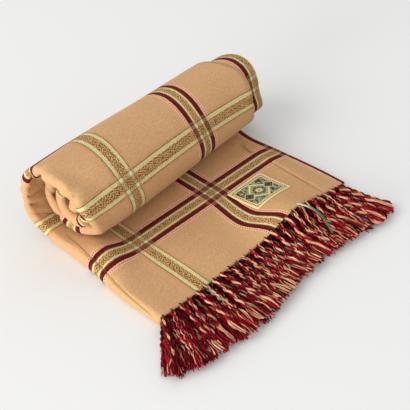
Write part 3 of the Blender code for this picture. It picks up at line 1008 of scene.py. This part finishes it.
class TRAVELRUG_OT_fringe(bpy.types.Operator):
    """Twists the four rows of tassels at the end of the plies"""

    bl_idname = "travelrug.fringe"
    bl_label = "Fringe"

    def execute(self, context):
        settings = context.scene.travel_rug_fringe
        chance = np.random.default_rng(settings.seed)
        material = yarn_material("fringe_wool")
        for level, row in enumerate(FRINGE_ROWS):
            lines = row_of_tassels(settings, row, level, chance)
            if level == len(FRINGE_ROWS) - 1:
                lines += roving(settings)
            piece = yarn_piece("tassels_" + row["name"], lines, settings.yarn)
            finish_piece(piece, material, "fringe", row["name"])
        return {"FINISHED"}


class TRAVELRUG_OT_label(bpy.types.Operator):
    """Lays the woven label on the top ply and sews it down"""

    bl_idname = "travelrug.label"
    bl_label = "Label"

    def execute(self, context):
        settings = context.scene.travel_rug_label
        across = np.linspace(*LABEL_ACROSS, LABEL_COLUMNS)
        along = np.linspace(*LABEL_ALONG, LABEL_ROWS)
        rise = CLOTH / 2 + SEAT + LABEL_THICKNESS / 2
        points = label_points(across[None, :], along[:, None], rise)
        uv = (np.linspace(0, 1, count) for count in (LABEL_COLUMNS, LABEL_ROWS))
        label = grid_sheet("rug_label", points, *uv)
        thicken(label, LABEL_THICKNESS)
        finish_piece(label, label_material(settings), "label", "label")

        xs, ys = (np.add(ends, (STITCH_INSET, -STITCH_INSET)) for ends in (LABEL_ACROSS, LABEL_ALONG))
        corners = np.array([(xs[i], ys[j]) for i, j in ((0, 0), (1, 0), (1, 1), (0, 1), (0, 0))])
        heights = np.array(STITCH_ARCH) + rise + LABEL_THICKNESS / 2
        lines = []
        for start, end in zip(corners, corners[1:]):
            count = round(math.dist(start, end) / STITCH_PITCH)
            for k in range(count):
                t = np.linspace(k + STITCH_COVER[0], k + STITCH_COVER[1], len(heights)) / count
                stitch = np.array([label_points(*(start + (end - start) * u), h) for u, h in zip(t, heights)])
                lines.append((stitch, np.ones(len(t)), np.tile(settings.thread[:3], (len(t), 1))))
        stitches = yarn_piece("label_stitches", lines, STITCH_THREAD)
        finish_piece(stitches, yarn_material("sewing_thread"), "label")
        return {"FINISHED"}


class TRAVELRUG_OT_stage(bpy.types.Operator):
    """Sets the pale floor, the soft light and the camera"""

    bl_idname = "travelrug.stage"
    bl_label = "Stage"

    def execute(self, context):
        settings = context.scene.travel_rug_stage
        deselect_all()
        bpy.ops.mesh.primitive_plane_add(size=FLOOR_SIZE, location=(0.0, 0.0, 0.0))
        floor = context.active_object
        floor.name = "floor"
        material = bpy.data.materials.new("pale_floor")
        material.use_nodes = True
        shader = material.node_tree.nodes["Principled BSDF"]
        shader.inputs["Base Color"].default_value = (*settings.floor, 1.0)
        shader.inputs["Roughness"].default_value = 0.8
        floor.data.materials.append(material)

        world = bpy.data.worlds.new("studio")
        world.use_nodes = True
        background = world.node_tree.nodes["Background"]
        background.inputs["Color"].default_value = (1.0, 1.0, 1.0, 1.0)
        background.inputs["Strength"].default_value = settings.fill
        context.scene.world = world
        context.scene.view_settings.view_transform = "Standard"

        for name, where, size, share in LIGHTS:
            bpy.ops.object.light_add(type="AREA", location=where)
            light = context.active_object
            light.name = name
            light.data.shape = "DISK"
            light.data.size = size
            light.data.energy = settings.key * share
            light.rotation_euler = (-Vector(where)).to_track_quat("-Z", "Y").to_euler()

        bpy.ops.object.camera_add(location=CAMERA_PLACE)
        camera = context.active_object
        camera.rotation_euler = (math.radians(CAMERA_TILT), 0.0, math.radians(CAMERA_TURN))
        camera.data.sensor_width = 36.0
        camera.data.lens = settings.focal
        camera.data.clip_start = 0.01
        context.scene.camera = camera
        return {"FINISHED"}


class TRAVELRUG_PT_panel(bpy.types.Panel):
    """Builds each piece of the rug"""

    bl_label = "Travel rug"
    bl_idname = "TRAVELRUG_PT_panel"
    bl_space_type = "VIEW_3D"
    bl_region_type = "UI"
    bl_category = "Travel rug"

    def draw(self, context):
        for operator, name, group in PIECES:
            box = self.layout.box()
            box.operator(operator.bl_idname)
            for key in group.__annotations__:
                box.prop(getattr(context.scene, name), key)


# Each piece or group: its operator, and its settings by their name on the scene and by their class
PIECES = (
    (TRAVELRUG_OT_cloth, "travel_rug_cloth", ClothSettings),
    (TRAVELRUG_OT_label, "travel_rug_label", LabelSettings),
    (TRAVELRUG_OT_fringe, "travel_rug_fringe", FringeSettings),
    (TRAVELRUG_OT_stage, "travel_rug_stage", StageSettings),
)


def register():
    for operator, name, group in PIECES:
        bpy.utils.register_class(group)
        bpy.utils.register_class(operator)
        setattr(bpy.types.Scene, name, PointerProperty(type=group))
    bpy.utils.register_class(TRAVELRUG_PT_panel)


def unregister():
    bpy.utils.unregister_class(TRAVELRUG_PT_panel)
    for operator, name, group in reversed(PIECES):
        delattr(bpy.types.Scene, name)
        bpy.utils.unregister_class(operator)
        bpy.utils.unregister_class(group)


def main():
    register()
    bpy.ops.travelrug.cloth()
    bpy.ops.travelrug.label()
    bpy.ops.travelrug.fringe()
    bpy.ops.travelrug.stage()


if __name__ == "__main__":
    main()
